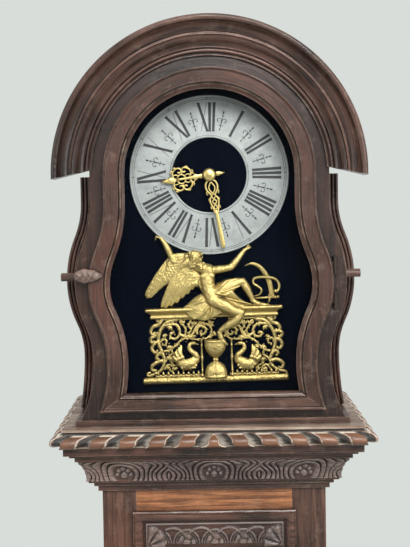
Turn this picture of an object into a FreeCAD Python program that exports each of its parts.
import FreeCAD, Part
import math
import os

import Sketcher

# Longcase clock. Millimetres, +Z up, the front looks along -Y, origin on the floor under the middle.

V = FreeCAD.Vector
doc = FreeCAD.newDocument("LongcaseClock")
sheet = doc.addObject("Spreadsheet::Sheet", "Sizes")

SIZES = {
    # heights above the floor, and drops below the dial centre
    "dial_height": 1950,
    "neck_drop": 45,
    "bulge_drop": 180,
    "waist_drop": 308,
    "foot_drop": 402,
    "seat_drop": 412,
    # half widths of the waisted hood front
    "arch_radius": 196,
    "bulge_half": 223,
    "waist_half": 195,
    "foot_half": 217.5,
    "crown_radius": 252,
    "crown_width": 60,
    "crown_backing_lap": 32,
    # case
    "trunk_half": 189,
    "trunk_depth": 230,
    "trunk_wall": 15,
    "front_wall": 20,
    "back_wall": 12,
    "cornice_height": 118,
    "cornice_overhang": 77,
    "shelf_board_height": 31,
    "shelf_lip_height": 4,
    "shelf_lip_setback": 19,
    "gadroon_depth": 28,
    "step_height": 27,
    "trunk_rail_height": 38,
    "trunk_foot_rail": 60,
    "trunk_stile": 57,
    "plinth_height": 340,
    "plinth_half": 225,
    "plinth_front_step": 38,
    "skirting_height": 90,
    "skirting_wall": 12,
    "plinth_top_wall": 15,
    "cap_height": 36,
    "cap_width": 40,
    # hood
    "hood_setback": 45,
    "hood_board": 20,
    "hood_side_half": 194,
    "hood_wall": 12,
    "board_opening": 46,
    "base_rail_lap": 8.5,
    "base_rail_step": 6,
    "wing_offset": 27,
    "wing_flare": 8,
    "wing_setback": 129,
    "wing_thickness": 29,
    "reed_radius": 3,
    "peg_radius": 7,
    "peg_reach": 60,
    "peg_setback": 97,
    "peg_drop": 170,
    # hood door
    "door_inset": 24,
    "door_frame": 34,
    "door_thickness": 20,
    "door_gap": 0.5,
    "door_bead": 3,
    "door_fall": 1,
    "door_quirk": 3,
    "door_sticking": 7.5,
    "door_round": 9,
    "door_slope": 8,
    "door_rail": 31,
    "door_low_drop": 387,
    "glass_thickness": 3,
    "glass_lap": 6,
    "glass_edge_gap": 0.3,
    "latch_drop": 162,
    "latch_length": 46,
    "latch_height": 24,
    "latch_thickness": 7,
    # hinges
    "pin_radius": 1.6,
    "pin_clearance": 0.05,
    "knuckle_radius": 3.5,
    "knuckle_height": 12,
    "leaf_width": 8,
    "leaf_thickness": 1.5,
    "leaf_fall": 1.5,
    "hinge_spread": 28,
    "trunk_hinge_inset": 140,
    # trunk door
    "trunk_door_lip": 6,
    "trunk_door_moulding": 17,
    "trunk_door_proud": 10,
    "trunk_door_panel": 17,
    "trunk_door_gap": 1,
    "knob_radius": 9,
    # dial
    "dial_setback": 102,
    "dial_board_half": 178,
    "dial_board": 8,
    "dial_low_drop": 395,
    "ring_radius": 135,
    "ring_hole": 63.5,
    "ring_thickness": 3,
    "dial_turn": 1,
    # gilt mount, drops below the dial centre
    "mount_half": 117.5,
    "mount_shelf_drop": 226,
    "mount_shelf_height": 15,
    "mount_shelf_depth": 15,
    "mount_base_drop": 352.5,
    "mount_base_height": 7,
    "mount_base_half": 126,
    "fret_half": 104,
    "fret_thickness": 3,
    "hourglass_radius": 23,
    "hourglass_height": 64,
    "swan_width": 46,
    "figure_height": 170,
    # hands
    "hour_hand_length": 84,
    "minute_hand_length": 126,
    "hand_thickness": 1.5,
    "hand_gap": 6,
    "hand_hub": 10.8,
    # movement
    "plate_half": 65,
    "plate_above": 112,
    "plate_below": 112,
    "plate_thickness": 3,
    "plate_space": 64,
    "motion_space": 24,
    "pillar_radius": 5,
    "seat_thickness": 20,
    "cheek_wall": 15,
    "cheek_depth_below": 150,
    "arbor_radius": 2,
    "pivot_clearance": 0.05,
    "wheel_thickness": 2.5,
    "pinion_overhang": 1,
    "wheel_hub": 6,
    "great_drop": 55,
    "third_rise": 32,
    "escape_rise": 60,
    "anchor_rise": 86,
    "escape_radius": 16,
    "great_inset": 18,
    "centre_inset": 4,
    "third_inset": 9,
    "escape_inset": 27,
    "pallet_clearance": 2.2,
    "pallet_width": 2.5,
    "pallet_height": 7,
    "anchor_waist": 4,
    "crutch_length": 62,
    "crutch_width": 5,
    "crutch_wall": 2,
    "crutch_gap": 3,
    "fork_clearance": 0.4,
    "cock_wall": 4,
    "cock_rise": 6,
    "cock_foot_half": 18,
    "minute_stud": 28.8,
    "line_radius": 28,
    "line_thickness": 1.2,
    "drum_width": 16,
    "drum_inset": 20,
    "rim_height": 4,
    "rim_thickness": 2,
    "weight_radius": 32,
    "weight_height": 160,
    "weight_floor": 321,
    "weight_stem": 24,
    "weight_neck": 4,
    "pendulum_length": 994,
    "pendulum_setback": 30,
    "rod_radius": 3,
    "rod_tail": 30,
    "nut_radius": 9,
    "nut_height": 8,
    "bob_radius": 70,
    "bob_thickness": 30,
    "wall_screw_radius": 3,
}

for row, (alias, number) in enumerate(SIZES.items(), 1):
    sheet.set(f"A{row}", alias.replace("_", " "))
    sheet.set(f"B{row}", str(number))
    sheet.setAlias(f"B{row}", alias)
doc.recompute()


class Size:
    """A length with the spreadsheet expression that gives it."""

    def __init__(self, value, text):
        self.value = value
        self.text = text

    def __add__(self, other):
        return Size(self.value + num(other), f"({self.text} + {say(other)})")

    def __radd__(self, other):
        return Size(num(other) + self.value, f"({say(other)} + {self.text})")

    def __sub__(self, other):
        return Size(self.value - num(other), f"({self.text} - {say(other)})")

    def __rsub__(self, other):
        return Size(num(other) - self.value, f"({say(other)} - {self.text})")

    def __mul__(self, other):
        return Size(self.value * num(other), f"({self.text} * {say(other)})")

    def __rmul__(self, other):
        return Size(num(other) * self.value, f"({say(other)} * {self.text})")

    def __truediv__(self, other):
        return Size(self.value / num(other), f"({self.text} / {say(other)})")

    def __neg__(self):
        return Size(-self.value, f"(0 - {self.text})")

    def root(self):
        return Size(math.sqrt(self.value), f"sqrt({self.text})")


def num(value):
    return value.value if isinstance(value, Size) else float(value)


def say(value):
    return value.text if isinstance(value, Size) else repr(float(value))


def larger(first, second):
    return Size(max(num(first), num(second)), f"max({say(first)}; {say(second)})")


class Sheet:
    """The driving dimensions, read back from the spreadsheet by alias."""

    def __getattr__(self, alias):
        return Size(float(getattr(sheet, alias)), f"Sizes.{alias}")


d = Sheet()
nodes = {}


def keep(label, item):
    item.Label = label
    nodes[label] = item
    return item


def bind(item, **values):
    for name, value in values.items():
        item.setExpression(name, say(value))


def put(item, x=0, y=0, z=0, turn=None):
    if turn:
        item.Placement.Rotation = turn
    for axis, value in (("x", x), ("y", y), ("z", z)):
        item.setExpression(f".Placement.Base.{axis}", say(value))
    return item


ALONG_X = FreeCAD.Rotation(V(0, 1, 0), 90)
ALONG_Y = FreeCAD.Rotation(V(1, 0, 0), -90)
ALONG_Z = FreeCAD.Rotation()


def box(name, low, high):
    """A board between two corners."""
    item = doc.addObject("Part::Box", name)
    bind(item, Length=high[0] - low[0], Width=high[1] - low[1], Height=high[2] - low[2])
    return put(item, *low)


def rod(name, radius, length, start, turn=ALONG_Z):
    item = doc.addObject("Part::Cylinder", name)
    bind(item, Radius=radius, Height=length)
    return put(item, *start, turn)


def fuse(name, *items):
    item = doc.addObject("Part::MultiFuse", name)
    item.Shapes = list(items)
    return item


def cut(name, base, *tools):
    item = doc.addObject("Part::Cut", name)
    item.Base = base
    item.Tool = tools[0] if len(tools) == 1 else fuse(name + "Tools", *tools)
    return item


def group(name, *items):
    item = doc.addObject("Part::Compound", name)
    item.Links = list(items)
    return item


def shape(name, solid):
    """A piece whose form is worked out here from the sheet's numbers."""
    item = doc.addObject("Part::Feature", name)
    item.Shape = solid
    return item


def new_body(name):
    return doc.addObject("PartDesign::Body", name)


def centre_of(a, b, radius, side):
    """Centre of the arc from a to b, on the left (1) or right (-1) of the way from a to b."""
    chord = b - a
    half = chord.Length / 2
    across = V(-chord.y, chord.x, 0).normalize()
    return (a + b) / 2 + across * side * math.sqrt(max(radius**2 - half**2, 0))


def arc_after(spot):
    """Radius and side of the arc that follows a spot, if any. A negative radius bends the other way."""
    if len(spot) < 3 or spot[2] is None:
        return None
    radius, side = spot[2]
    return (radius, side) if num(radius) > 0 else (-radius, -side)


def add_edge(sketch, a, b, arc):
    """Adds a line or an arc from a to b. Returns its index and the ends that lie at a and b."""
    if arc is None:
        return sketch.addGeometry(Part.LineSegment(a, b)), 1, 2
    radius, side = arc
    middle = centre_of(a, b, num(radius), side)
    first, last = (a, b) if side > 0 else (b, a)
    start = math.atan2(first.y - middle.y, first.x - middle.x)
    end = math.atan2(last.y - middle.y, last.x - middle.x)
    circle = Part.Circle(middle, V(0, 0, 1), num(radius))
    index = sketch.addGeometry(Part.ArcOfCircle(circle, start, end))
    return (index, 1, 2) if side > 0 else (index, 2, 1)


def draw(body, name, plane, loops, shift=(0, 0, 0), closed=True):
    """A sketch of loops on an origin plane. A loop is a list of (u, v) or (u, v, arc to the next)."""
    sketch = body.newObject("Sketcher::SketchObject", name)
    support = [f for f in body.Origin.OriginFeatures if f.Role == plane][0]
    sketch.AttachmentSupport = [(support, "")]
    sketch.MapMode = "FlatFace"
    for axis, value in zip("xyz", shift):
        sketch.setExpression(f".AttachmentOffset.Base.{axis}", say(value))
    for loop in loops:
        spots = [V(num(p[0]), num(p[1]), 0) for p in loop]
        count = len(loop) if closed else len(loop) - 1
        ends = []
        for i in range(count):
            arc = arc_after(loop[i])
            ends.append((*add_edge(sketch, spots[i], spots[(i + 1) % len(loop)], arc), arc))
        for i, (index, first, last, arc) in enumerate(ends):
            if closed or i + 1 < count:
                after = ends[(i + 1) % count]
                sketch.addConstraint(Sketcher.Constraint("Coincident", index, last, after[0], after[1]))
            fixes = [(index, first, loop[i])]
            if not closed and i + 1 == count:
                fixes.append((index, last, loop[i + 1]))
            for edge, end, spot in fixes:
                for kind, value in (("DistanceX", spot[0]), ("DistanceY", spot[1])):
                    rule = Sketcher.Constraint(kind, -1, 1, edge, end, num(value))
                    sketch.setExpression(f"Constraints[{sketch.addConstraint(rule)}]", say(value))
            if arc:
                rule = Sketcher.Constraint("Radius", index, num(arc[0]))
                sketch.setExpression(f"Constraints[{sketch.addConstraint(rule)}]", say(arc[0]))
    return sketch


def pad(body, sketch, length, midplane=False):
    item = body.newObject("PartDesign::Pad", sketch.Name + "Pad")
    item.Profile = sketch
    item.Midplane = midplane
    bind(item, Length=length)
    return item


def pocket(body, sketch):
    """Cuts the sketch right through, both ways."""
    item = body.newObject("PartDesign::Pocket", sketch.Name + "Pocket")
    item.Profile = sketch
    item.Type = "ThroughAll"
    item.Midplane = True
    return item


def sweep(body, profile, path, corners="Transformed"):
    item = body.newObject("PartDesign::AdditivePipe", profile.Name + "Pipe")
    item.Profile = profile
    item.Spine = (path, [f"Edge{i + 1}" for i in range(path.GeometryCount)])
    item.Transition = corners
    return item


def mirror(body, *features):
    item = body.newObject("PartDesign::Mirrored", features[0].Name + "Mirror")
    item.Originals = list(features)
    plane = [f for f in body.Origin.OriginFeatures if f.Role == "YZ_Plane"][0]
    item.MirrorPlane = (plane, [""])
    body.Tip = item
    return item


def revolve(body, sketch, axis, angle, midplane=False, backward=False):
    item = body.newObject("PartDesign::Revolution", sketch.Name + "Turned")
    item.Profile = sketch
    item.ReferenceAxis = (sketch, [axis])
    item.Midplane = midplane
    item.Reversed = backward
    item.Angle = angle
    return item


def board(name, loops, y_back, thickness):
    """A flat piece drawn from the front, from its back plane forward."""
    body = new_body(name)
    pad(body, draw(body, name + "Face", "XZ_Plane", loops, (0, 0, -y_back)), thickness)
    return body


# Places that many pieces share
dial_z = d.dial_height
seat_z = dial_z - d.seat_drop
trunk_top = seat_z - d.cornice_height
case_depth = d.trunk_depth + d.cornice_overhang
back_y = case_depth / 2
front_y = -back_y
trunk_front = back_y - d.trunk_depth
trunk_inner = d.trunk_half - d.trunk_wall
hood_front = front_y + d.hood_setback
hood_back = hood_front + d.hood_board
dial_front = front_y + d.dial_setback
dial_back = dial_front + d.dial_board
plate_front = dial_back + d.motion_space
space_front = plate_front + d.plate_thickness
space_back = space_front + d.plate_space
plate_back = space_back + d.plate_thickness
shelf_low = seat_z - d.shelf_board_height
movement_z = dial_z - d.plate_below
pendulum_y = plate_back + d.pendulum_setback

LEFT_CENTRE = 1
RIGHT_CENTRE = -1


def ogee_radius(tall, wide):
    """Radius of the two equal arcs of an S curve that stands upright at both ends."""
    return (tall * tall + wide * wide) / (4 * wide)


def hood_side(offset, low, foot=None):
    """Right-hand edge of the waisted hood, offset outward, from the springing down to the foot."""
    foot = foot or d.foot_half
    neck, bulge, waist = d.arch_radius, d.bulge_half, d.waist_half
    neck_z = dial_z - d.neck_drop
    bulge_z = dial_z - d.bulge_drop
    waist_z = dial_z - d.waist_drop
    foot_rise = d.foot_drop - d.waist_drop
    upper = d.bulge_drop - d.neck_drop
    lower = d.waist_drop - d.bulge_drop
    r_upper = ogee_radius(upper, bulge - neck)
    r_lower = ogee_radius(lower, bulge - waist)
    r_foot = (foot_rise * foot_rise + (foot - waist) * (foot - waist)) / (2 * (foot - waist))
    upper_x = (neck + bulge) / 2 + offset * (neck - bulge + 2 * r_upper) / (2 * r_upper)
    upper_z = (neck_z + bulge_z) / 2 + offset * upper / (2 * r_upper)
    lower_x = (waist + bulge) / 2 + offset * (waist - bulge + 2 * r_lower) / (2 * r_lower)
    lower_z = (waist_z + bulge_z) / 2 - offset * lower / (2 * r_lower)
    reach = r_foot - offset
    fall = waist_z - low
    foot_x = waist + r_foot - (reach * reach - fall * fall).root()
    return [
        (neck + offset, dial_z),
        (neck + offset, neck_z, (r_upper - offset, LEFT_CENTRE)),
        (upper_x, upper_z, (r_upper + offset, RIGHT_CENTRE)),
        (bulge + offset, bulge_z, (r_lower + offset, RIGHT_CENTRE)),
        (lower_x, lower_z, (r_lower - offset, LEFT_CENTRE)),
        (waist + offset, waist_z, (reach, LEFT_CENTRE)),
        (foot_x, low),
    ]


def other_side(side):
    """The same edge on the left, travelled from the foot up."""
    mirrored = [(-p[0], p[1]) for p in reversed(side)]
    arcs = [p[2] if len(p) > 2 else None for p in reversed(side)][1:] + [None]
    return [(*p, arc) for p, arc in zip(mirrored, arcs)]


def waisted_loop(offset, low):
    """The whole arched and waisted outline, clockwise from the crown of the arch."""
    radius = d.arch_radius + offset
    right = hood_side(offset, low)
    left = other_side(right)
    arch = (radius, RIGHT_CENTRE)
    left[-1] = (left[-1][0], left[-1][1], arch)
    return [(0, dial_z + radius, arch)] + right + left


def arched_loop(half, low):
    """A straight-sided board with a round head about the dial centre."""
    arch = (half, RIGHT_CENTRE)
    return [(0, dial_z + half, arch), (half, dial_z), (half, low), (-half, low), (-half, dial_z, arch)]


def moulding(name, profile, half, front, level):
    """A moulding round the front and both sides, from (projection, height) points."""
    body = new_body(name)
    run = [(-half, back_y), (-half, front), (half, front), (half, back_y)]
    path = draw(body, name + "Run", "XY_Plane", [run], (0, 0, level), closed=False)
    points = [(-half - p[0], p[1], *p[2:]) for p in profile]
    section = draw(body, name + "Section", "XZ_Plane", [points], (0, 0, -back_y))
    sweep(body, section, path, "Right corner")
    return body


def pair(name, low, high):
    """The same board on the right and, mirrored, on the left."""
    right = box(name + "Right", low, high)
    left = box(name + "Left", (-high[0], low[1], low[2]), (-low[0], high[1], high[2]))
    return right, left


def build_plinth():
    half = d.plinth_half
    front = trunk_front - d.plinth_front_step
    inner = half - d.trunk_wall
    top = d.plinth_height - d.plinth_top_wall
    keep("plinth_front", box("PlinthFront", (-inner, front, 0), (inner, front + d.front_wall, top)))
    right, left = pair("PlinthSide", (inner, front, 0), (half, back_y, top))
    back = box("PlinthBack", (-inner, back_y - d.back_wall, 0), (inner, back_y, top))
    keep("plinth_sides", group("PlinthSides", right, left, back))
    keep("plinth_top", box("PlinthTop", (-half, front, top), (half, back_y, d.plinth_height)))
    out = d.skirting_wall
    high = d.skirting_height
    round_top = 0.7 * out
    skirting = [(0, 0), (out, 0), (out, high - out - round_top), (0.8 * out, high - out),
                (0.8 * out, high - round_top, (round_top, LEFT_CENTRE)), (0.1 * out, high), (0, high)]
    keep("plinth_skirting", moulding("Skirting", skirting, half, front, 0))
    wide = d.cap_width
    foot = d.plinth_height
    tall = d.cap_height
    cap = [(0, foot), (wide, foot), (wide, foot + 0.2 * tall), (0.8 * wide, foot + 0.2 * tall),
           (0.8 * wide, foot + 0.35 * tall, (0.75 * wide, RIGHT_CENTRE)), (0.15 * wide, foot + 0.85 * tall),
           (0.15 * wide, foot + tall), (0, foot + tall)]
    keep("plinth_cap_moulding", moulding("PlinthCap", cap, d.trunk_half, trunk_front, foot))


def build_trunk():
    foot = d.plinth_height
    inner = d.trunk_half - d.trunk_stile
    behind = trunk_front + d.front_wall
    right, left = pair("TrunkSide", (trunk_inner, behind, foot), (d.trunk_half, back_y, shelf_low))
    keep("trunk_sides", group("TrunkSides", right, left))
    right, left = pair("TrunkStile", (inner, trunk_front, foot), (d.trunk_half, behind, shelf_low))
    keep("trunk_stiles", group("TrunkStiles", right, left))
    door_low, door_high = trunk_door_span()
    lip = d.trunk_door_lip
    top_rail = box("TopRail", (-inner, trunk_front, door_high - lip), (inner, behind, shelf_low))
    foot_rail = box("FootRail", (-inner, trunk_front, foot), (inner, behind, door_low + lip))
    keep("trunk_rails", group("TrunkRails", top_rail, foot_rail))
    back = board("BackBoard", [arched_loop(trunk_inner, foot)], back_y, d.back_wall)
    screw_z = dial_z + d.plate_above
    start = (0, back_y - 2 * d.back_wall, screw_z)
    hole = rod("WallScrewHole", d.wall_screw_radius, 3 * d.back_wall, start, ALONG_Y)
    keep("back_board", cut("BackBoardDrilled", back, hole))


def build_cornice():
    half = d.trunk_half
    out = d.cornice_overhang
    lip = out - d.shelf_lip_setback
    core = out - d.gadroon_depth
    lip_low = seat_z - d.shelf_lip_height
    slab = box("ShelfCore", (-half - core, trunk_front - core, shelf_low), (half + core, back_y, lip_low))
    top = box("ShelfLip", (-half - lip, trunk_front - lip, lip_low), (half + lip, back_y, seat_z))
    behind = trunk_front + d.front_wall
    well = box("ShelfWell", (-trunk_inner, behind, shelf_low - 1), (trunk_inner, back_y + 1, seat_z + 1))
    keep("shelf_board", cut("ShelfBoard", fuse("ShelfSolid", slab, top), well))
    rise = d.shelf_board_height - d.shelf_lip_height
    roll = rise / 2
    upper = seat_z - d.shelf_lip_height
    curve = (roll, LEFT_CENTRE)
    nose = [(core, shelf_low), (out - roll, shelf_low, curve), (out, shelf_low + roll, curve),
            (out - roll, upper), (core, upper)]
    nose = list(reversed_loop(nose))
    keep("gadroon_moulding", moulding("Gadroon", nose, half, trunk_front, shelf_low))
    tread = d.step_height / 3
    low = shelf_low - d.step_height
    steps = [(0, low), (0.52 * out, low), (0.52 * out, low + tread), (0.62 * out, low + tread),
             (0.62 * out, low + 1.6 * tread), (0.73 * out, low + 1.6 * tread), (0.73 * out, shelf_low),
             (0, shelf_low)]
    keep("cornice_steps", moulding("Steps", steps, half, trunk_front, low))
    tall = low - trunk_top
    hollow = (0.75 * tall, LEFT_CENTRE)
    cove = [(0, trunk_top), (0.08 * out, trunk_top), (0.08 * out, trunk_top + 0.17 * tall),
            (0.16 * out, trunk_top + 0.17 * tall), (0.16 * out, trunk_top + 0.3 * tall),
            (0.26 * out, trunk_top + 0.3 * tall), (0.27 * out, trunk_top + 0.35 * tall, hollow),
            (0.47 * out, low), (0, low)]
    keep("cornice_cove", moulding("Cove", cove, half, trunk_front, trunk_top))


def reversed_loop(loop):
    """The same loop travelled the other way."""
    count = len(loop)
    for i in range(count):
        spot = loop[-1 - i]
        before = loop[-2 - i] if i + 1 < count else loop[-1]
        arc = before[2] if len(before) > 2 else None
        yield (spot[0], spot[1], (arc[0], -arc[1])) if arc else (spot[0], spot[1])


def build_hood():
    low = dial_z - d.foot_drop
    front = new_body("HoodFront")
    outline = draw(front, "HoodOutline", "XZ_Plane", [waisted_loop(0, low)], (0, 0, -hood_back))
    pad(front, outline, d.hood_board)
    head = d.arch_radius + d.crown_backing_lap
    rise = 0.1 * head
    spread = (head * head - rise * rise).root()
    arch = (head, RIGHT_CENTRE)
    backing = [(0, dial_z + head, arch), (spread, dial_z + rise), (-spread, dial_z + rise, arch)]
    pad(front, draw(front, "HoodHead", "XZ_Plane", [backing], (0, 0, -hood_back)), d.hood_board)
    sill = dial_z - d.door_low_drop + d.door_rail - d.glass_lap * 2
    hole = waisted_loop(-d.board_opening, sill)
    opening = draw(front, "HoodOpening", "XZ_Plane", [hole], (0, 0, -hood_back))
    pocket(front, opening)
    keep("hood_front_board", front)
    side = d.hood_side_half
    right, left = pair("HoodSide", (side - d.hood_wall, hood_back, low), (side, back_y, dial_z))
    keep("hood_sides", group("HoodSides", right, left))
    inner = side - d.hood_wall
    outside = (side, RIGHT_CENTRE)
    inside = (inner, LEFT_CENTRE)
    vault = [(0, dial_z + side, outside), (side, dial_z), (inner, dial_z, inside),
             (0, dial_z + inner, inside), (-inner, dial_z), (-side, dial_z, outside)]
    keep("hood_roof", board("HoodRoof", [vault], back_y, back_y - hood_back))
    half = d.foot_half + d.base_rail_lap
    rail_front = hood_front - d.base_rail_step
    base = box("HoodBaseFront", (-half, rail_front, seat_z), (half, hood_back, low))
    runners = pair("HoodRunner", (side - d.hood_wall, hood_back, seat_z), (half, back_y, low))
    keep("hood_base", group("HoodBase", base, *runners))
    build_crown()
    build_wings()
    build_pegs()


def build_crown():
    """The arched moulding, a turned half ring whose sections step forward to the outside."""
    reach = d.hood_setback
    wide = d.crown_width
    inner = d.crown_radius - wide

    def at(across, forward):
        return hood_front - forward * reach, inner + across * wide

    bead = 0.05 * wide
    roll = 0.09 * wide
    section = [
        (hood_front, inner),
        at(0, 0.12),
        at(0.07, 0.12),
        (*at(0.07, 0.2), (bead, RIGHT_CENTRE)),
        (hood_front - 0.2 * reach - bead, inner + 0.07 * wide + bead, (bead, RIGHT_CENTRE)),
        (hood_front - 0.2 * reach, inner + 0.07 * wide + 2 * bead),
        at(0.2, 0.24),
        (*at(0.22, 0.24), (0.3 * wide, LEFT_CENTRE)),
        (*at(0.36, 0.42), (0.3 * wide, RIGHT_CENTRE)),
        at(0.48, 0.56),
        at(0.5, 0.64),
        at(0.56, 0.64),
        (*at(0.58, 0.56), (0.34 * wide, LEFT_CENTRE)),
        at(0.81, 0.9),
        (hood_front - reach + roll, inner + 0.82 * wide, (roll, RIGHT_CENTRE)),
        (hood_front - reach, inner + 0.82 * wide + roll, (roll, RIGHT_CENTRE)),
        (hood_front - reach + roll, inner + 0.82 * wide + 2 * roll),
        at(1, 0.6),
        (hood_front, inner + wide),
    ]
    body = new_body("Crown")
    profile = draw(body, "CrownSection", "YZ_Plane", [section], (0, dial_z, 0))
    revolve(body, profile, "H_Axis", 200, midplane=True)
    ends = []
    for side in (1, -1):
        near = side * (inner - 0.1 * wide)
        far = side * (d.crown_radius + 0.1 * wide)
        ends.append([(near, dial_z + 0.18 * wide), (far, dial_z - 0.12 * wide), (far, dial_z - 2 * wide),
                     (near, dial_z - 2 * wide)])
    pocket(body, draw(body, "CrownEnds", "XZ_Plane", ends))
    keep("hood_crown", body)


def build_wings():
    """Waisted ears behind the front board, with three reeds along the edge."""
    low = seat_z + (d.seat_drop - d.foot_drop)
    y_front = front_y + d.wing_setback
    edge = hood_side(d.wing_offset, low, d.waist_half + d.wing_flare)
    inner = d.hood_side_half
    radius = d.reed_radius
    wings = []
    for name, sign in (("right", 1), ("left", -1)):
        body = new_body("Wing" + name.title())
        loop = edge + [(inner, low), (inner, dial_z)]
        plate = draw(body, "WingPlate" + name, "XZ_Plane", [loop], (0, 0, -(y_front + d.wing_thickness)))
        pad(body, plate, d.wing_thickness)
        path = draw(body, "WingRun" + name, "XZ_Plane", [edge], (0, 0, -y_front), closed=False)
        outer = d.arch_radius + d.wing_offset
        curve = (radius, RIGHT_CENTRE)
        reeds = []
        for i in range(3):
            far = outer - 2 * radius * i
            reeds += [(far, y_front, curve), (far - radius, y_front - radius, curve)]
        inside = outer - 6 * radius
        reeds += [(inside, y_front), (inside, y_front + radius), (outer, y_front + radius)]
        sweep(body, draw(body, "Reeds" + name, "XY_Plane", [reeds], (0, 0, dial_z)), path)
        if sign < 0:
            doc.recompute()
            item = doc.addObject("Part::Mirroring", "WingMirror")
            item.Source = body
            item.Normal = V(1, 0, 0)
            body = item
        wings.append(body)
    reach = 2 * d.bulge_half
    floor = box("WingFloor", (-reach, front_y, low - reach), (reach, back_y, low))
    keep("hood_wings", cut("HoodWings", group("WingPairWhole", *wings), floor))


def build_pegs():
    y = front_y + d.peg_setback
    z = dial_z - d.peg_drop
    side = d.hood_side_half
    right = rod("PegRight", d.peg_radius, d.peg_reach, (side, y, z), ALONG_X)
    left = rod("PegLeft", d.peg_radius, d.peg_reach, (-side - d.peg_reach, y, z), ALONG_X)
    keep("hood_pegs", group("HoodPegs", right, left))


def door_section(width, level):
    """Moulded frame section from its outer edge inward: bead, flat, quirk, lip and glass rebate."""
    face = hood_front - d.door_gap - d.door_thickness
    back = hood_front - d.door_gap
    bead = d.door_bead
    quirk = face + 2 * bead + d.door_fall
    lip = width - d.door_sticking
    rebate = face + d.door_thickness * 0.55
    return [
        (back, level(0)),
        (face + bead, level(0), (bead, RIGHT_CENTRE)),
        (face, level(bead), (bead, RIGHT_CENTRE)),
        (face + bead, level(2 * bead)),
        (face + bead + d.door_fall, level(lip - d.door_quirk)),
        (quirk, level(lip - d.door_quirk)),
        (quirk, level(lip)),
        (face + 2 * d.door_fall, level(lip), (d.door_round, RIGHT_CENTRE)),
        (face + d.door_slope, level(width)),
        (rebate, level(width)),
        (rebate, level(width - d.glass_lap)),
        (back, level(width - d.glass_lap)),
    ]


def build_hood_door():
    outer = d.arch_radius - d.door_inset
    low = dial_z - d.door_low_drop
    mitre_high = low + d.door_rail
    side = hood_side(-d.door_inset, low)
    corner_out = side[-1]
    corner_in = hood_side(-d.door_inset - d.door_frame, mitre_high)[-1]
    run_x = corner_out[0] - corner_in[0]
    body = new_body("DoorArch")
    run = hood_side(-d.door_inset, low - 0.2 * d.door_rail)
    path = [(0, dial_z + outer, (outer, RIGHT_CENTRE))] + run
    spine = draw(body, "DoorRun", "XZ_Plane", [path], (0, 0, -hood_front), closed=False)
    section = door_section(d.door_frame, lambda inward: dial_z + outer - inward)
    half = sweep(body, draw(body, "DoorSection", "YZ_Plane", [section]), spine)
    mirror(body, half)
    below = []
    for sign in (1, -1):
        below.append([(sign * (corner_in[0] - run_x), mitre_high + d.door_rail),
                      (sign * (corner_out[0] + run_x), low - d.door_rail),
                      (sign * (corner_out[0] + run_x), low - 3 * d.door_rail),
                      (sign * (corner_in[0] - run_x), low - 3 * d.door_rail)])
    pocket(body, draw(body, "DoorMitres", "XZ_Plane", below))
    latch_x = latch_place()[0]
    spindle = rod("LatchBore", d.pin_radius + d.pin_clearance, d.door_thickness * 2,
                  (latch_x, hood_front - 2 * d.door_thickness, latch_place()[1]), ALONG_Y)
    keep("hood_door_frame", cut("DoorFrame", body, spindle))
    rail = new_body("DoorRail")
    section = list(reversed_loop(door_section(d.door_rail, lambda inward: low + inward)))
    pad(rail, draw(rail, "RailSection", "YZ_Plane", [section]), 2 * corner_out[0], midplane=True)
    above = []
    for sign in (1, -1):
        above.append([(sign * (corner_in[0] - run_x), mitre_high + d.door_rail),
                      (sign * (corner_out[0] + run_x), low - d.door_rail),
                      (sign * (corner_out[0] + run_x), mitre_high + d.door_rail)])
    pocket(rail, draw(rail, "RailMitres", "XZ_Plane", above))
    keep("hood_door_rail", rail)
    rebate = hood_front - d.door_gap - d.door_thickness * 0.45
    inset = d.door_inset + d.door_frame - d.glass_lap + d.glass_edge_gap
    pane_low = mitre_high - d.glass_lap + d.glass_edge_gap
    pane = waisted_loop(-inset, pane_low)
    keep("hood_door_glass", board("DoorGlass", [pane], rebate + d.glass_thickness, d.glass_thickness))


def latch_place():
    """Pivot of the leaf latch on the left stile, at the widest part of the door."""
    return -(d.bulge_half - d.door_inset - d.door_frame * 0.4), dial_z - d.latch_drop


def build_latch():
    x, z = latch_place()
    face = hood_front - d.door_gap - d.door_thickness - d.glass_edge_gap
    long = d.latch_length
    tall = d.latch_height
    body = new_body("LatchLeaf")
    head = (0.9 * long, RIGHT_CENTRE)
    neck = (0.8 * long, RIGHT_CENTRE)
    tail = x - 0.78 * long
    widest = x - 0.2 * long
    tip = x + 0.22 * long
    loop = [(tail, z + 0.2 * tall, neck), (widest, z + 0.5 * tall, head), (tip, z, head),
            (widest, z - 0.5 * tall, neck), (tail, z - 0.2 * tall)]
    pad(body, draw(body, "LatchFace", "XZ_Plane", [loop], (0, 0, -face)), d.latch_thickness)
    reach = d.latch_thickness + 0.8 * d.door_thickness
    spindle = rod("LatchSpindle", d.pin_radius, reach, (x, face - d.latch_thickness, z), ALONG_Y)
    keep("hood_latch_leaf", fuse("LatchLeafWhole", body, spindle))


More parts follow.
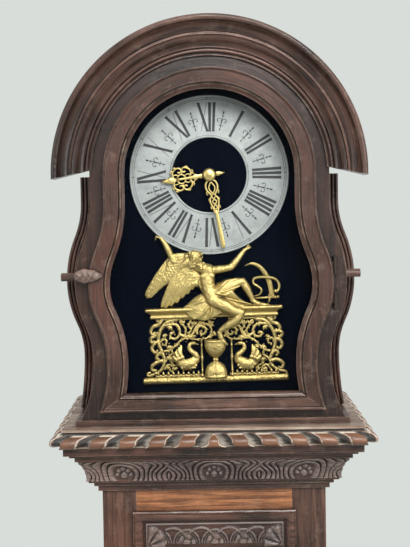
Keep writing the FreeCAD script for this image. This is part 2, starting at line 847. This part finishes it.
def hinge(name, axis, heights, door_edge, fixed_edge, fixed_face):
    """Two-part pin hinges: the middle knuckle is on the door, the pin and outer knuckles stay fixed."""
    x, y = axis
    radius = d.knuckle_radius
    tall = d.knuckle_height
    end = 0.7 * tall
    flat = d.leaf_thickness
    play = 4 * d.pin_clearance
    moving = []
    still = []
    for i, z in enumerate(heights):
        part = f"{name}{i}"
        barrel = rod(part + "Barrel", radius, tall, (x, y, z - tall / 2))
        leaf = box(part + "DoorLeaf", (door_edge, y - flat, z - tall / 2), (x, y, z + tall / 2))
        bore = rod(part + "Bore", d.pin_radius + d.pin_clearance, 2 * tall, (x, y, z - tall))
        moving.append(cut(part + "Moving", fuse(part + "Eye", barrel, leaf), bore))
        pieces = [rod(part + "Pin", d.pin_radius, 2 * tall, (x, y, z - tall))]
        for side, base in (("Upper", z + tall / 2 + play), ("Lower", z - tall / 2 - play - end)):
            pieces.append(rod(part + side, radius, end, (x, y, base)))
            low = (x, fixed_face - flat, base)
            pieces.append(box(part + side + "Leaf", low, (fixed_edge, fixed_face, base + end)))
        still.append(fuse(part + "Still", *pieces))
    return group(name + "Moving", *moving), group(name + "Still", *still)


def hinge_axis(edge, face):
    """The pin's place beside a door's edge, its knuckles just clear of the face behind."""
    return edge + d.knuckle_radius + d.door_gap, face - d.knuckle_radius - d.door_gap


def build_hinges():
    spread = d.hinge_spread
    widest = d.bulge_half - d.door_inset
    bend = ogee_radius(d.waist_drop - d.bulge_drop, d.bulge_half - d.waist_half) - d.door_inset
    reach = spread + 2 * d.knuckle_height
    edge = larger(widest, widest - reach * reach / (2 * bend))
    axis = hinge_axis(edge, hood_front)
    heights = [dial_z - d.bulge_drop - spread, dial_z - d.bulge_drop + spread]
    fixed = axis[0] + d.leaf_width
    moving, still = hinge("HoodHinge", axis, heights, edge - d.leaf_fall, fixed, hood_front)
    keep("hood_hinges", still)
    keep("hood_door_hinge_eyes", moving)
    edge = d.trunk_half - d.trunk_stile + d.trunk_door_lip
    axis = hinge_axis(edge, trunk_front)
    low, high = trunk_door_span()
    heights = [low + d.trunk_hinge_inset, high - d.trunk_hinge_inset]
    moving, still = hinge("TrunkHinge", axis, heights, edge, axis[0] + d.leaf_width, trunk_front)
    keep("trunk_hinges", still)
    keep("trunk_door_hinge_eyes", moving)


def trunk_door_span():
    """Lower and upper edge of the trunk door's moulding, which laps over the rails."""
    return d.plinth_height + d.trunk_foot_rail, trunk_top - d.trunk_rail_height


def build_trunk_door():
    low, high = trunk_door_span()
    half = d.trunk_half - d.trunk_stile + d.trunk_door_lip
    back = trunk_front - d.door_gap
    proud = d.trunk_door_proud
    wide = d.trunk_door_moulding
    body = new_body("TrunkDoorFrame")
    loop = [(0, low), (half, low), (half, high), (-half, high), (-half, low)]
    path = draw(body, "TrunkDoorRun", "XZ_Plane", [loop], (0, 0, -back))
    hollow = (0.9 * wide, RIGHT_CENTRE)
    section = [(back, low), (back - 0.5 * proud, low), (back - 0.6 * proud, low + 0.12 * wide),
               (back - proud, low + 0.25 * wide), (back - proud, low + 0.5 * wide, hollow),
               (back - 0.3 * proud, low + wide), (back, low + wide)]
    sweep(body, draw(body, "TrunkDoorSection", "YZ_Plane", [section]), path, "Right corner")
    keep("trunk_door_moulding", body)
    inner = half - d.trunk_door_lip - d.trunk_door_gap
    edge = d.trunk_door_lip + d.trunk_door_gap
    inside = back + d.trunk_door_panel
    panel = box("TrunkDoorPanel", (-inner, back, low + edge), (inner, inside, high - edge))
    keep("trunk_door_panel", panel)
    middle = (low + high) / 2
    x = -half + wide * 1.8
    stem = rod("KnobStem", d.knob_radius * 0.4, proud, (x, back - proud, middle), ALONG_Y)
    ball = doc.addObject("Part::Sphere", "KnobBall")
    bind(ball, Radius=d.knob_radius)
    put(ball, x, back - proud - d.knob_radius * 0.8, middle)
    keep("trunk_door_knob", fuse("TrunkDoorKnob", stem, ball))


def build_dial():
    outline = arched_loop(d.dial_board_half, dial_z - d.dial_low_drop)
    dial = board("DialBoard", [outline], dial_back, d.dial_board)
    thick = d.dial_board
    hole = rod("DialHole", 4.5 * d.arbor_radius, 3 * thick, (0, dial_front - thick, dial_z), ALONG_Y)
    keep("dial_board", cut("DialBoardDrilled", dial, hole))
    start = (0, dial_front - d.ring_thickness, dial_z)
    disc = rod("RingDisc", d.ring_radius, d.ring_thickness, start, ALONG_Y)
    start = (0, dial_front - 2 * d.ring_thickness, dial_z)
    well = rod("RingWell", d.ring_hole, 3 * d.ring_thickness, start, ALONG_Y)
    keep("chapter_ring", cut("ChapterRing", disc, well))


def dial_feet():
    """Posts that carry the dial board on the front plate."""
    feet = []
    for i, (side, level) in enumerate(((1, 1), (-1, 1), (1, -1), (-1, -1))):
        spot = (side * d.plate_half * 0.8, dial_back, dial_z + level * d.plate_half * 1.3)
        feet.append(rod(f"DialFoot{i}", d.pillar_radius, d.motion_space, spot, ALONG_Y))
    return feet


def mount_place(item):
    """Sets a mount piece, drawn about the dial centre, a little askew as it hangs."""
    item.Placement.Rotation = FreeCAD.Rotation(V(0, 1, 0), -num(d.dial_turn))
    item.setExpression(".Placement.Base.z", say(dial_z))
    return item


def build_mount():
    half = d.mount_half
    top = -d.mount_shelf_drop
    low = top - d.mount_shelf_height
    under = half - 0.5 * d.mount_shelf_height
    ledge = [(-half, top), (half, top), (under, low), (-under, low)]
    keep("gilt_shelf", mount_place(board("GiltShelf", [ledge], dial_front, d.mount_shelf_depth)))
    foot = -d.mount_base_drop
    wide = d.mount_base_half
    brim = foot + d.mount_base_height
    bar = [(-wide, foot), (wide, foot), (wide, brim), (-wide, brim)]
    keep("gilt_base", mount_place(board("GiltBase", [bar], dial_front, d.mount_shelf_depth * 0.5)))
    sill = foot + d.mount_base_height
    tall = low - sill
    side = d.fret_half
    frame = [(-side, sill), (-side, low), (side, low), (side, sill)]
    holes = []
    for across in (-0.82, -0.56, 0.56, 0.82):
        for level, size in ((0.22, 0.085), (0.55, 0.1), (0.86, 0.07)):
            holes.append(round_loop(across * side, sill + level * tall, size * side))
    keep("gilt_fret", mount_place(board("GiltFret", [frame] + holes, dial_front, d.fret_thickness)))
    build_hourglass(sill)
    build_swans(sill)
    build_figure(top)


def round_loop(x, z, radius):
    """A round hole as two half circles of three arcs each."""
    spots = []
    for i in range(3):
        angle = -i * 2 * math.pi / 3
        spots.append((x + radius * math.cos(angle), z + radius * math.sin(angle), (radius, RIGHT_CENTRE)))
    return spots


def build_hourglass(sill):
    wide = d.hourglass_radius
    tall = d.hourglass_height
    neck = 0.16 * wide
    bulb = 0.88 * wide
    curve = (0.8 * wide, LEFT_CENTRE)
    body = new_body("Hourglass")
    half = [(0, sill), (wide, sill), (wide, sill + 0.07 * tall), (bulb, sill + 0.1 * tall, curve),
            (neck, sill + 0.46 * tall), (neck, sill + 0.54 * tall, curve), (bulb, sill + 0.9 * tall),
            (wide, sill + 0.93 * tall), (wide, sill + tall), (0, sill + tall)]
    sketch = draw(body, "HourglassSection", "XZ_Plane", [half], (0, 0, -(dial_front - d.fret_thickness)))
    revolve(body, sketch, "V_Axis", 180, backward=True)
    mount_place(body)
    keep("gilt_hourglass", body)


def build_swans(sill):
    """Two swans in low relief, each swimming towards the middle."""
    size = d.swan_width
    back = dial_front - d.fret_thickness
    swans = []
    for name, sign in (("left", 1), ("right", -1)):
        turn = RIGHT_CENTRE * sign
        start = -sign * 1.68 * size

        def at(x, z, radius=None, way=1):
            spot = (start + sign * x * size, sill + (0.3 + z) * size)
            return (*spot, (radius * size, turn * way)) if radius else spot

        loop = [at(0, 0.3, 0.62, -1), at(0.42, 0.3, 0.36, -1), at(0.6, 0.5, 0.3), at(0.58, 0.86, 0.2),
                at(0.78, 1.0, 0.16), at(0.94, 0.88), at(1, 0.74), at(0.84, 0.82, 0.12, -1),
                at(0.72, 0.78, 0.5, -1), at(0.86, 0.36, 0.4),
                at(0.62, 0.02, 0.8), at(0.2, 0.02, 0.36)]
        swans.append(board("Swan" + name.title(), [loop], back, 0.2 * size))
    keep("gilt_swans", mount_place(group("GiltSwans", *swans)))


def limb(name, start, end, thick, thin):
    """A tapering limb with round ends, between two points of the figure."""
    way = V(*[num(b) - num(a) for a, b in zip(start, end)])
    size = d.figure_height
    length = size * (way.Length / num(size))
    bone = doc.addObject("Part::Cone", name)
    bind(bone, Radius1=thick, Radius2=thin, Height=length)
    put(bone, *start, FreeCAD.Rotation(V(0, 0, 1), way))
    tip = doc.addObject("Part::Sphere", name + "End")
    bind(tip, Radius=thin)
    put(tip, *end)
    root = doc.addObject("Part::Sphere", name + "Root")
    bind(root, Radius=thick)
    put(root, *start)
    return [bone, tip, root]


def build_figure(top):
    """A seated, winged old figure bent over the shelf, as fractions of its height."""
    size = d.figure_height
    deep = dial_front - 0.075 * size

    def at(x, z, forward=0.0):
        return size * x, deep - forward * size, top + size * z

    neck = at(-0.14, 0.4, 0.01)
    hip = at(-0.06, 0.1)
    parts = limb("Torso", hip, neck, 0.1 * size, 0.085 * size)
    parts += limb("Head", at(-0.17, 0.46, 0.04), at(-0.19, 0.49, 0.05), 0.07 * size, 0.075 * size)
    parts += limb("RaisedArm", at(-0.22, 0.38), at(-0.42, 0.55), 0.04 * size, 0.035 * size)
    parts += limb("RaisedHand", at(-0.42, 0.55), at(-0.55, 0.7), 0.033 * size, 0.028 * size)
    parts += limb("RightArm", at(-0.08, 0.38), at(0.15, 0.37), 0.04 * size, 0.036 * size)
    parts += limb("RightHand", at(0.15, 0.37), at(0.34, 0.6), 0.034 * size, 0.028 * size)
    parts += limb("NearThigh", hip, at(0.26, 0.24, 0.02), 0.075 * size, 0.055 * size)
    parts += limb("NearShin", at(0.26, 0.24, 0.02), at(0.34, 0.05, 0.02), 0.05 * size, 0.035 * size)
    parts += limb("FarThigh", hip, at(0.25, -0.02, 0.04), 0.075 * size, 0.055 * size)
    parts += limb("FarShin", at(0.25, -0.02, 0.04), at(0.08, -0.33, 0.08), 0.05 * size, 0.035 * size)
    parts += limb("Lap", at(-0.2, 0.02, 0.01), at(0.05, -0.02, 0.03), 0.08 * size, 0.07 * size)
    behind = box("FigureBack", (-size, dial_front, top - size), (size, dial_front + size, top + size))
    low = (-d.mount_half, dial_front - d.mount_shelf_depth, top - d.mount_shelf_height)
    ledge = box("FigureSeat", low, (d.mount_half, dial_front, top))
    glass = rod("FigureGlass", d.hourglass_radius * 1.05, d.hourglass_height,
                (0, dial_front - d.fret_thickness, -d.mount_base_drop + d.mount_base_height))
    body = fuse("FigureBody", *parts)
    figure = cut("FigureTrimmed", body, behind, ledge, glass)
    wings = []
    spans = (((-0.7, 0.08), (-0.2, 0.4)), ((-0.52, 0.03), (-0.17, 0.32)))
    for i, (tip, root) in enumerate(spans):
        tip_x, tip_z = size * tip[0], top + size * tip[1]
        root_x, root_z = size * root[0], top + size * root[1]
        loop = [(tip_x, tip_z, (0.6 * size, RIGHT_CENTRE)), (root_x, root_z),
                (root_x, root_z - 0.2 * size, (0.9 * size, RIGHT_CENTRE))]
        wings.append(board(f"FigureWing{i}", [loop], dial_front, size * (0.035 - 0.01 * i)))
    spread = cut("FigureWings", fuse("WingPair", *wings), body, ledge)
    keep("time_figure", mount_place(group("TimeFigure", figure, spread)))
    blade = [(0.3 * size, top + 0.4 * size, (0.42 * size, RIGHT_CENTRE)), (0.6 * size, top + 0.1 * size),
             (0.54 * size, top + 0.1 * size, (0.5 * size, LEFT_CENTRE))]
    keep("scythe", mount_place(board("Scythe", [blade], dial_front, 0.03 * size)))


def hand_loop(length, points):
    """A hand's outline, symmetric about its line, from fractions of its length."""
    right = [(length * x, length * z, *rest) for x, z, *rest in points]
    left = [(-p[0], p[1]) for p in reversed(right[1:-1])]
    return right + left


def set_hand(item, turned):
    item.Placement.Rotation = FreeCAD.Rotation(V(0, 1, 0), turned)
    item.setExpression(".Placement.Base.z", say(dial_z))
    return item


# Outer radius of the pipes that carry the hands, in arbor radii
CANNON_PIPE = 2
HOUR_PIPE = 3.1

# Clockwise from twelve, in degrees
HOUR_HAND_ANGLE = 262
MINUTE_HAND_ANGLE = 169.5

# Half outlines as (across, along) fractions of each hand's length
HOUR_HAND = [(0, 1), (0.035, 0.8), (0.1, 0.76), (0.22, 0.62), (0.24, 0.46), (0.12, 0.38), (0.05, 0.3),
             (0.12, 0.12), (0.13, 0), (0.1, -0.1), (0.03, -0.15), (0.04, -0.22), (0, -0.32)]
HOUR_WINDOW = [(0, 0.7), (0.13, 0.58), (0.12, 0.49), (0, 0.42)]
MINUTE_HAND = [(0, 1), (0.012, 0.97), (0.03, 0.5), (0.07, 0.46), (0.085, 0.32), (0.05, 0.18), (0.035, 0.14),
               (0.085, 0.06), (0.085, 0), (0.06, -0.06), (0, -0.085)]
MINUTE_WINDOW = [(0, 0.42), (0.045, 0.34), (0.03, 0.22), (0, 0.17)]


def build_hand(name, length, outline, window, eye_radius, y):
    """One pierced hand with a hole for the pipe that turns it."""
    eye = round_loop(0, 0, eye_radius + d.pivot_clearance)
    loops = [hand_loop(length, outline), hand_loop(length, window), eye]
    return board(name, loops, y, d.hand_thickness)


def build_hands():
    hour_y = dial_front - d.ring_thickness - d.hand_gap
    minute_y = hour_y - d.hand_gap
    pipe = HOUR_PIPE * d.arbor_radius
    hour = build_hand("HourHand", d.hour_hand_length, HOUR_HAND, HOUR_WINDOW, pipe, hour_y)
    keep("hour_hand", set_hand(hour, HOUR_HAND_ANGLE))
    pipe = CANNON_PIPE * d.arbor_radius
    minute = build_hand("MinuteHand", d.minute_hand_length, MINUTE_HAND, MINUTE_WINDOW, pipe, minute_y)
    boss = build_boss(minute_y - d.hand_thickness)
    keep("minute_hand", group("MinuteHandAndBoss", set_hand(minute, MINUTE_HAND_ANGLE), boss))


def gear_wire(teeth, module, phase):
    """A closed outline of thin straight-sided teeth."""
    radius = teeth * module / 2
    pitch = 2 * math.pi / teeth
    spots = []
    for i in range(teeth):
        middle = phase + i * pitch
        for swing, reach in ((-0.24, -1.25), (-0.12, 0.7), (0.12, 0.7), (0.24, -1.25)):
            angle = middle + swing * pitch
            r = radius + reach * module
            spots.append(V(r * math.cos(angle), 0, r * math.sin(angle)))
    return Part.makePolygon(spots + spots[:1])


def gear(teeth, module, phase, y_low, y_high, bore=0.0, spokes=0):
    """A toothed disc along Y about the origin, with a bore or with windows between spokes."""
    wires = [gear_wire(teeth, module, phase)]
    if spokes:
        rim = teeth * module / 2 - 4 * module
        hub = num(d.wheel_hub)
        for i in range(spokes):
            first, last = [2 * math.pi * (i + part) / spokes for part in (0.12, 0.88)]
            middle = (first + last) / 2
            turns = ((rim, first), (rim, middle), (rim, last), (hub, last), (hub, middle), (hub, first))
            spots = [V(r * math.cos(turn), 0, r * math.sin(turn)) for r, turn in turns]
            edges = [Part.Arc(*spots[:3]).toShape(), Part.makeLine(spots[2], spots[3]),
                     Part.Arc(*spots[3:]).toShape(), Part.makeLine(spots[5], spots[0])]
            wires.append(Part.Wire(edges))
    if bore:
        wires.append(Part.Wire(Part.makeCircle(bore, V(0, 0, 0), V(0, 1, 0))))
    face = Part.makeFace(wires, "Part::FaceMakerBullseye")
    face.translate(V(0, y_low, 0))
    return face.extrude(V(0, y_high - y_low, 0))


def shaft(radius, y_low, y_high, bore=0.0):
    solid = Part.makeCylinder(radius, y_high - y_low, V(0, y_low, 0), V(0, 1, 0))
    return solid.cut(Part.makeCylinder(bore, y_high - y_low, V(0, y_low, 0), V(0, 1, 0))) if bore else solid


def mesh_phase(toward, phase_a, teeth_a, teeth_b):
    """Phase of wheel B so that its gaps meet A's teeth, B lying in the direction given."""
    return toward + math.pi + (toward - phase_a) * teeth_a / teeth_b + math.pi / teeth_b


def turning(label, name, solid, x, z):
    """A piece turned about Y, set on its arbor's line."""
    item = shape(name, solid)
    return keep(label, put(item, x, 0, z))


PINION_TEETH = 10
GREAT_TEETH, CENTRE_TEETH, THIRD_TEETH, ESCAPE_TEETH = 120, 80, 75, 30
CANNON_TEETH, MINUTE_TEETH, MINUTE_PINION_TEETH, HOUR_TEETH = 24, 72, 18, 72
UP = math.pi / 2


def build_train():
    """Going train in a line upward: great, centre, third and escape wheels."""
    thick = num(d.wheel_thickness)
    near = num(space_front)
    far = num(space_back)
    pivot = num(d.arbor_radius)
    tail = num(d.plate_thickness)
    great_m = 2 * num(d.great_drop) / (GREAT_TEETH + PINION_TEETH)
    centre_m = 2 * num(d.third_rise) / (CENTRE_TEETH + PINION_TEETH)
    third_m = 2 * num(d.escape_rise - d.third_rise) / (THIRD_TEETH + PINION_TEETH)
    great_y = far - num(d.great_inset)
    centre_y = near + num(d.centre_inset)
    third_y = far - num(d.third_inset)
    escape_y = near + num(d.escape_inset)
    side = thick * 0.8

    def arbor(back=0.0, front=0.0):
        return shaft(pivot, near - tail - front, far + tail + back)

    great = arbor().fuse(gear(GREAT_TEETH, great_m, 0, great_y, great_y + thick, spokes=4))
    turning("great_wheel", "GreatWheel", great, 0, dial_z - d.great_drop)
    phase = mesh_phase(UP, 0, GREAT_TEETH, PINION_TEETH)
    pinion = gear(PINION_TEETH, great_m, phase, great_y - side, great_y + thick + side)
    nose = num(d.motion_space + d.dial_board + d.ring_thickness + 3 * d.hand_gap + d.arbor_radius)
    wheel = gear(CENTRE_TEETH, centre_m, 0, centre_y, centre_y + thick, spokes=4)
    centre = arbor(front=nose).fuse([pinion, wheel])
    turning("centre_wheel", "CentreWheel", centre, 0, dial_z)
    phase = mesh_phase(UP, 0, CENTRE_TEETH, PINION_TEETH)
    pinion = gear(PINION_TEETH, centre_m, phase, centre_y - side, centre_y + thick + side)
    third = arbor().fuse([pinion, gear(THIRD_TEETH, third_m, 0, third_y, third_y + thick, spokes=4)])
    turning("third_wheel", "ThirdWheel", third, 0, dial_z + d.third_rise)
    phase = mesh_phase(UP, 0, THIRD_TEETH, PINION_TEETH)
    pinion = gear(PINION_TEETH, third_m, phase, third_y - side, third_y + thick + side)
    escape_m = 2 * num(d.escape_radius) / (ESCAPE_TEETH + 1.4)
    escape = arbor().fuse([pinion, gear(ESCAPE_TEETH, escape_m, 0, escape_y, escape_y + thick)])
    turning("escape_wheel", "EscapeWheel", escape, 0, dial_z + d.escape_rise)
    build_anchor(escape_y, thick)


def build_anchor(y, thick):
    """Anchor over the escape wheel, its pallets just clear of the teeth, with the crutch behind."""
    drop = num(d.anchor_rise - d.escape_rise)
    reach = num(d.escape_radius)
    across = 0.75 * reach
    level = -drop + math.sqrt((reach + num(d.pallet_clearance)) ** 2 - across**2)
    heel = num(d.pallet_width)
    tall = num(d.pallet_height)
    waist = num(d.anchor_waist)
    right = [(waist, waist), (across + 0.8 * heel, level + tall), (across + heel, level + 0.15 * tall),
             (across, level), (across - 0.4 * heel, level + 0.6 * tall)]
    left = [(-x, z) for x, z in reversed(right)]
    spots = [V(x, 0, z) for x, z in right + [(0, -0.75 * waist)] + left]
    face = Part.Face(Part.makePolygon(spots + spots[:1]))
    face.translate(V(0, y, 0))
    arms = face.extrude(V(0, thick, 0))
    far = num(plate_back)
    behind = num(d.pendulum_setback)
    long = num(d.crutch_length)
    wide = num(d.crutch_width)
    wall = num(d.crutch_wall)
    near = far + num(d.crutch_gap)
    axle = shaft(num(d.arbor_radius), num(plate_front), near + 1.5 * wall)
    arm = Part.makeBox(wide, wall, long, V(-wide / 2, near, -long))
    fork = num(d.rod_radius + d.fork_clearance)
    prongs = [Part.makeBox(wall, behind, wide, V(x, near, -long)) for x in (-fork - wall, fork)]
    bridge = Part.makeBox(2 * (fork + wall), wall, wide, V(-fork - wall, near, -long))
    turning("anchor", "Anchor", axle.fuse([arms, arm, bridge] + prongs), 0, dial_z + d.anchor_rise)


def build_motion_work():
    """Cannon pinion, minute wheel and hour wheel between the plate and the dial."""
    near = num(plate_front)
    gap = num(d.motion_space)
    side = num(d.pinion_overhang)
    thick = num(d.wheel_thickness)
    arbor = num(d.arbor_radius)
    play = num(d.pivot_clearance)
    first = 2 * num(d.minute_stud) / (CANNON_TEETH + MINUTE_TEETH)
    second = 2 * num(d.minute_stud) / (MINUTE_PINION_TEETH + HOUR_TEETH)
    low_y = near - gap * 0.36
    high_y = near - gap * 0.75
    pipe = CANNON_PIPE * arbor
    ring_face = num(dial_front - d.ring_thickness)
    hand = num(d.hand_gap)
    minute_y = ring_face - 2 * hand
    tip = minute_y - 2 * num(d.hand_thickness)
    cannon = shaft(pipe, tip, near - side, arbor + play)
    leaves = gear(CANNON_TEETH, first, 0, low_y - side, low_y + thick + side, bore=arbor + play)
    cannon = cannon.fuse(leaves)
    turning("cannon_pinion", "CannonPinion", cannon, 0, dial_z)
    phase = mesh_phase(0, 0, CANNON_TEETH, MINUTE_TEETH)
    wheel = gear(MINUTE_TEETH, first, phase, low_y, low_y + thick, bore=arbor + play)
    pinion = gear(MINUTE_PINION_TEETH, second, 0, high_y - side, low_y, bore=arbor + play)
    turning("minute_wheel", "MinuteWheel", wheel.fuse(pinion), d.minute_stud, dial_z)
    phase = mesh_phase(math.pi, 0, MINUTE_PINION_TEETH, HOUR_TEETH)
    hour = gear(HOUR_TEETH, second, phase, high_y, high_y + thick, bore=pipe + play)
    hour_tip = ring_face - hand - num(d.hand_thickness) - side
    hour = hour.fuse(shaft(HOUR_PIPE * arbor, hour_tip, high_y + thick, pipe + play))
    turning("hour_wheel", "HourWheel", hour, 0, dial_z)


def build_boss(face):
    """Round collet that holds the minute hand on the cannon pinion, seated on the hand's face."""
    wide = d.hand_hub
    boss = doc.addObject("Part::Sphere", "BossDome")
    bind(boss, Radius=0.8 * wide)
    put(boss, 0, face, dial_z)
    trim = box("BossTrim", (-wide, face, dial_z - wide), (wide, face + wide, dial_z + wide))
    depth = 2 * d.hand_thickness
    pipe = CANNON_PIPE * d.arbor_radius + d.pivot_clearance
    core = rod("BossCore", pipe, depth, (0, face - depth, dial_z), ALONG_Y)
    bore = rod("BossBore", d.arbor_radius + d.pivot_clearance, wide, (0, face - wide, dial_z), ALONG_Y)
    return cut("HandBoss", boss, trim, core, bore)


def build_plates():
    half = d.plate_half
    top = dial_z + d.plate_above
    rises = (-d.great_drop, 0, d.third_rise, d.escape_rise, d.anchor_rise)
    hole = d.arbor_radius + d.pivot_clearance
    plates = []
    for name, y in (("FrontPlate", plate_front), ("BackPlate", space_back)):
        plate = box(name, (-half, y, movement_z), (half, y + d.plate_thickness, top))
        holes = []
        for i, rise in enumerate(rises):
            start = (0, y - d.plate_thickness, dial_z + rise)
            holes.append(rod(f"{name}Hole{i}", hole, 3 * d.plate_thickness, start, ALONG_Y))
        plates.append(cut(name + "Drilled", plate, *holes))
    reach = 0.9 * d.motion_space
    stud = rod("MinuteStud", d.arbor_radius, reach, (d.minute_stud, plate_front - reach, dial_z), ALONG_Y)
    keep("movement_plates", group("MovementPlates", *plates, stud))
    pillars = []
    high, low = d.plate_above, -d.plate_below
    for i, (side, level) in enumerate(((1, high), (-1, high), (1, low), (-1, low))):
        spot = (side * half * 0.84, space_front, dial_z + level * 0.9)
        pillars.append(rod(f"Pillar{i}", d.pillar_radius, d.plate_space, spot, ALONG_Y))
    keep("movement_posts", group("MovementPosts", *pillars, *dial_feet()))
    axis_z = dial_z + d.anchor_rise
    wall = d.cock_wall
    wide = 2 * wall
    low = axis_z + d.cock_rise
    flange = d.cock_foot_half
    end = pendulum_y + 2 * wall
    arm = box("CockArm", (-wide, plate_back, low), (wide, end, low + 2 * wall))
    foot = box("CockFoot", (-flange, plate_back, low), (flange, plate_back + wall, low + 4 * wall))
    cheek = box("CockCheek", (-wide, end - wall, axis_z - d.cock_rise), (wide, end, low))
    start = (0, end - 2 * wall, axis_z)
    bore = rod("CockBore", d.arbor_radius + d.pivot_clearance, 3 * wall, start, ALONG_Y)
    keep("back_cock", cut("BackCock", fuse("CockWhole", arm, foot, cheek), bore))


def build_seat():
    low = movement_z - d.seat_thickness
    behind = plate_back + d.plate_thickness * 3
    board_front = dial_back
    seat = box("Seat", (-trunk_inner, board_front, low), (trunk_inner, behind, movement_z))
    slot_y = drum_y() + d.drum_width / 2
    across, along = 1.6 * d.line_radius, d.drum_width
    slot = box("SeatSlot", (-across, slot_y - along, low - 1), (across, slot_y + along, movement_z + 1))
    keep("seat_board", cut("SeatBoard", seat, slot))
    inner = trunk_inner - d.cheek_wall
    foot = trunk_top - d.cheek_depth_below
    right, left = pair("Cheek", (inner, board_front, foot), (trunk_inner, back_y - d.back_wall, low))
    keep("seat_cheeks", group("SeatCheeks", right, left))


def drum_y():
    """Front of the line drum on the great arbor."""
    return space_front + d.drum_inset


def build_weight():
    axis_z = dial_z - d.great_drop
    y = drum_y()
    wide = d.drum_width
    core = d.line_radius - d.line_thickness - d.glass_edge_gap
    hole = d.arbor_radius + d.pivot_clearance
    drum = rod("DrumCore", core, wide, (0, y, axis_z), ALONG_Y)
    rims = []
    for side, edge in (("Front", y - d.rim_thickness), ("Back", y + wide)):
        start = (0, edge, axis_z)
        rims.append(rod("DrumRim" + side, d.line_radius + d.rim_height, d.rim_thickness, start, ALONG_Y))
    bore = rod("DrumBore", hole, 2 * wide, (0, y - wide / 2, axis_z), ALONG_Y)
    keep("line_drum", cut("LineDrum", fuse("DrumWhole", drum, *rims), bore))
    middle = y + wide / 2
    stem = d.weight_stem
    base = d.plinth_height + d.weight_floor
    top = base + d.weight_height + stem
    run = rod("WeightLine", d.line_thickness, axis_z - top, (d.line_radius, middle, top))
    keep("weight_line", run)
    lead = rod("WeightLead", d.weight_radius, d.weight_height, (d.line_radius, middle, base))
    neck = rod("WeightNeck", d.weight_neck, stem, (d.line_radius, middle, top - stem))
    keep("weight", fuse("Weight", lead, neck))


def build_pendulum():
    axis_z = dial_z + d.anchor_rise
    y = pendulum_y
    pin = rod("PendulumPin", d.arbor_radius, 3 * d.cock_wall, (0, y - d.rod_radius, axis_z), ALONG_Y)
    long = d.pendulum_length + d.bob_radius + d.rod_tail
    stem = rod("PendulumStem", d.rod_radius, long, (0, y, axis_z - long))
    bob_z = axis_z - d.pendulum_length
    half = d.bob_thickness / 2
    radius = d.bob_radius
    lens = (radius * radius + half * half) / (2 * half)
    body = new_body("Bob")
    curve = (lens, RIGHT_CENTRE)
    section = [(-half, 0, curve), (0, radius, curve), (half, 0)]
    revolve(body, draw(body, "BobSection", "YZ_Plane", [section]), "H_Axis", 360)
    put(body, 0, y, bob_z)
    bore = rod("BobBore", d.rod_radius + d.pin_clearance, 3 * radius, (0, y, bob_z - 1.5 * radius))
    keep("pendulum_bob", cut("PendulumBob", body, bore))
    low = bob_z - radius - d.nut_height
    nut = rod("Nut", d.nut_radius, d.nut_height, (0, y, low))
    start = (0, y, low - d.nut_height)
    thread = rod("NutBore", d.rod_radius + d.pin_clearance, 3 * d.nut_height, start)
    hanger = fuse("PendulumStemPin", stem, pin)
    keep("pendulum_rod", group("PendulumRod", hanger, cut("RatingNut", nut, thread)))


def check_document():
    doc.recompute()
    for item in doc.Objects:
        if "Invalid" in item.State or "Error" in item.State:
            raise RuntimeError(f"{item.Name} failed: {item.State}")
    for label, item in nodes.items():
        if item.Shape.isNull() or not item.Shape.isValid() or not item.Shape.Solids:
            raise RuntimeError(f"{label} has no valid solid")


def write_parts():
    os.makedirs("parts", exist_ok=True)
    for label, item in nodes.items():
        item.Shape.exportStep(f"parts/{label}.step")


STEPS = (build_plinth, build_trunk, build_cornice, build_hood, build_hood_door, build_latch, build_hinges,
         build_trunk_door, build_dial, build_mount, build_hands, build_train, build_motion_work, build_plates,
         build_seat, build_weight, build_pendulum)
for step in STEPS:
    step()
check_document()
write_parts()
print(len(nodes), "sub-parts")
